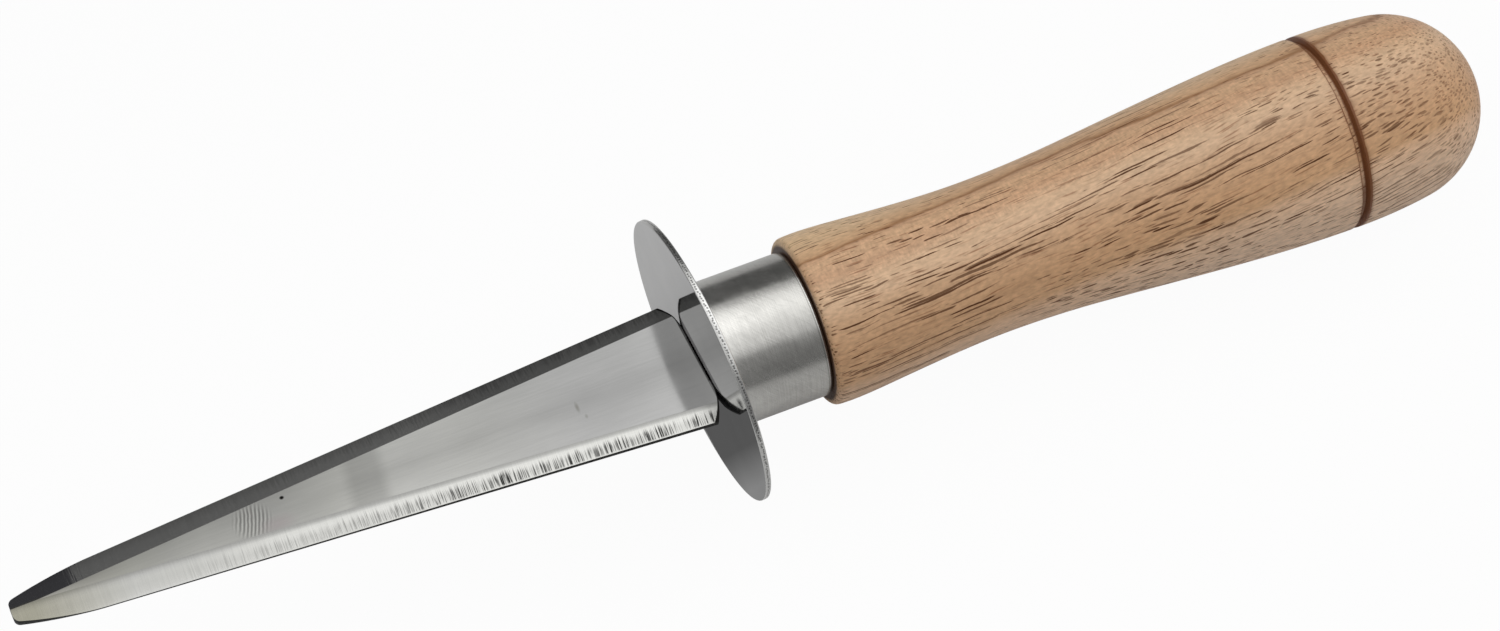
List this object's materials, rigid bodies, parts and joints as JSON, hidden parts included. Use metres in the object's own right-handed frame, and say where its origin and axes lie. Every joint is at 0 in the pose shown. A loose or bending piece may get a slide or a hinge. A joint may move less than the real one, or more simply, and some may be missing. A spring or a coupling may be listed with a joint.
{
  "type": "oyster knife",
  "caption": "Oyster knife: blunt-tipped tapered steel blade with ground bevels, round steel guard, steel ferrule and waisted turned wooden handle.",
  "frame": {"origin": "centre of the guard's front face, on the knife's axis", "axes": "+X along the knife towards the butt, +Y across the blade, +Z out of the blade's upper face"},
  "size_m": [0.1908, 0.0366, 0.0366],
  "materials": {
    "blade_steel": "polished flats with cross-ground bevels",
    "guard_steel": "mirror polished sheet",
    "ferrule_steel": "fine satin",
    "handle_wood": "turned, sanded and lightly oiled",
    "cured_resin": "cured amber resin, hidden"
  },
  "bodies": {
    "root": {"blade": "blade_steel", "guard_disc": "guard_steel", "ferrule": "ferrule_steel", "handle": "handle_wood", "tang_adhesive": "cured_resin"}
  },
  "joints": []
}
